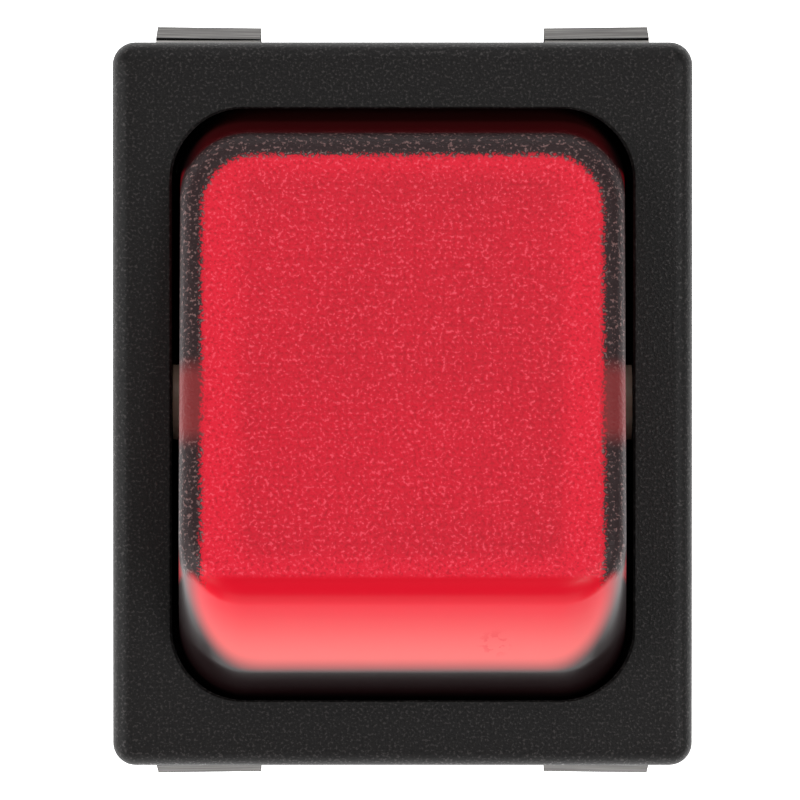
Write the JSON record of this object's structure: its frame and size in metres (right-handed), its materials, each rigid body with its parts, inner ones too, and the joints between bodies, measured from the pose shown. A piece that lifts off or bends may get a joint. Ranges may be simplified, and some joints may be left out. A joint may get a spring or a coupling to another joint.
{
  "type": "panel rocker switch",
  "caption": "Lighted double-pole rocker switch with a red translucent rocker in a black rectangular bezel, spring clips for a panel cut-out and push-on tabs behind.",
  "frame": {"origin": "centre of the panel cut-out, on the bezel's underside, which lies on the panel's front face", "axes": "+Z out of the panel towards the user, +Y towards the end of the rocker that is pressed in at rest, +X to the right"},
  "size_m": [0.0254, 0.0332, 0.0348],
  "materials": {
    "black_nylon": "black nylon, finely spark-grained on the bezel, plain on the body",
    "clear_red": "transparent red, finely grained top, smooth ends",
    "tan_nylon": "natural nylon, satin",
    "opal": "opal sheet, satin",
    "spring_steel": "dark hardened strip, smooth, bright cut edges",
    "tinned_brass": "tin-plated strip, satin",
    "brass": "bare, satin",
    "silver": "silver alloy, satin",
    "glass": "clear",
    "wire": "bright drawn wire",
    "resistor_lacquer": "glossy lacquer, no colour rings"
  },
  "bodies": {
    "housing": {"housing": "black_nylon", "base": "black_nylon", "clip_rear_left": "spring_steel", "clip_rear_right": "spring_steel", "clip_front_left": "spring_steel", "clip_front_right": "spring_steel", "load_terminal_left": "tinned_brass", "load_terminal_right": "tinned_brass", "line_terminal_left": "tinned_brass", "line_terminal_right": "tinned_brass", "fixed_contact_left": "silver", "fixed_contact_right": "silver"},
    "rocker": {"rocker_cap": "clear_red", "rocker_carrier": "tan_nylon", "diffuser": "opal", "lamp_glass": "glass", "lamp_leads": "wire", "resistor": "resistor_lacquer", "contact_plate_left": "brass", "contact_plate_right": "brass", "plunger_spring_left": "wire", "plunger_spring_right": "wire"},
    "plunger_left": {"plunger_left": "brass"},
    "plunger_right": {"plunger_right": "brass"},
    "seesaw_left": {"moving_contact_left": "brass", "contact_button_left": "silver"},
    "seesaw_right": {"moving_contact_right": "brass", "contact_button_right": "silver"}
  },
  "joints": [
    {"name": "rocker_tilt", "type": "hinge", "parent": "housing", "child": "rocker", "pos_m": [0, 0, -0.0017], "axis": [1, 0, 0], "range_deg": [0, 26]},
    {"name": "plunger_slide_left", "type": "slide", "parent": "rocker", "child": "plunger_left", "axis": [0, 0.225, 0.9744], "range_m": [0, 0.0008], "stiffness_N_per_m": 600, "springref_m": -0.0025, "deforming": ["plunger_spring_left"]},
    {"name": "contact_rock_left", "type": "hinge", "parent": "housing", "child": "seesaw_left", "pos_m": [-0.0056, 0, -0.013], "axis": [1, 0, 0], "range_deg": [-20, 0]},
    {"name": "plunger_slide_right", "type": "slide", "parent": "rocker", "child": "plunger_right", "axis": [0, 0.225, 0.9744], "range_m": [0, 0.0008], "stiffness_N_per_m": 600, "springref_m": -0.0025, "deforming": ["plunger_spring_right"]},
    {"name": "contact_rock_right", "type": "hinge", "parent": "housing", "child": "seesaw_right", "pos_m": [0.0056, 0, -0.013], "axis": [1, 0, 0], "range_deg": [-20, 0]}
  ],
  "couplings": [
    {"joint": "contact_rock_left", "follows": "rocker_tilt", "ratio": -0.76923},
    {"joint": "contact_rock_right", "follows": "rocker_tilt", "ratio": -0.76923}
  ]
}
